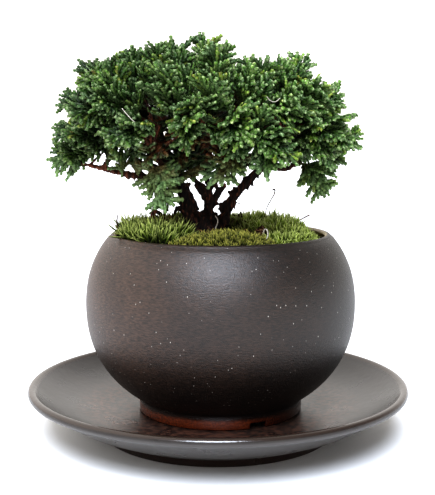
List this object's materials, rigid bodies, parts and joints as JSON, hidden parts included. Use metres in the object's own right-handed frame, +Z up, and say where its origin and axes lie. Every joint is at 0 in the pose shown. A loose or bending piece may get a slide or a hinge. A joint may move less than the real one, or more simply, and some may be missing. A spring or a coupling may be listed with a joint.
{
  "type": "potted bonsai tree",
  "caption": "Small hinoki cypress bonsai with flat scale-leaf sprays on a forked trunk, in moss-topped soil in a round pot that stands on a shallow round saucer.",
  "frame": {"origin": "centre of the saucer's foot ring, on the ground", "axes": "+Z up, -Y towards the front, +X to the right when seen from the front"},
  "size_m": [0.15, 0.15, 0.1566],
  "materials": {
    "saucer_glaze": "satin to glossy grey-brown stoneware glaze that breaks rust brown on the rim",
    "pot_glaze": "matt charcoal-brown stoneware glaze with fine throwing lines",
    "net": "matt dark plastic mesh",
    "soil": "matt moist clay grains",
    "moss": "matt, short soft shoots",
    "bark": "rough dark bark",
    "foliage": "satin scale leaves"
  },
  "bodies": {
    "root": {"saucer": "saucer_glaze", "pot": "pot_glaze", "drain_net": "net", "soil": "soil", "moss_left": "moss", "moss_front": "moss", "moss_right": "moss", "moss_back_right": "moss", "moss_back_left": "moss", "bark_chip": "bark", "wood": "bark", "spray_01": "foliage", "spray_02": "foliage", "spray_03": "foliage", "spray_04": "foliage", "spray_05": "foliage", "spray_06": "foliage", "spray_07": "foliage", "spray_08": "foliage", "spray_09": "foliage", "spray_10": "foliage", "spray_11": "foliage", "spray_12": "foliage", "spray_13": "foliage", "spray_14": "foliage", "spray_15": "foliage", "spray_16": "foliage", "spray_17": "foliage", "spray_18": "foliage", "spray_19": "foliage", "spray_20": "foliage", "spray_21": "foliage", "spray_22": "foliage", "spray_23": "foliage", "spray_24": "foliage", "spray_25": "foliage", "spray_26": "foliage", "spray_27": "foliage", "spray_28": "foliage", "spray_29": "foliage", "spray_30": "foliage", "spray_31": "foliage", "spray_32": "foliage", "spray_33": "foliage", "spray_34": "foliage", "spray_35": "foliage", "spray_36": "foliage", "spray_37": "foliage", "spray_38": "foliage", "spray_39": "foliage", "spray_40": "foliage", "spray_41": "foliage", "spray_42": "foliage", "spray_43": "foliage", "spray_44": "foliage"}
  },
  "joints": []
}
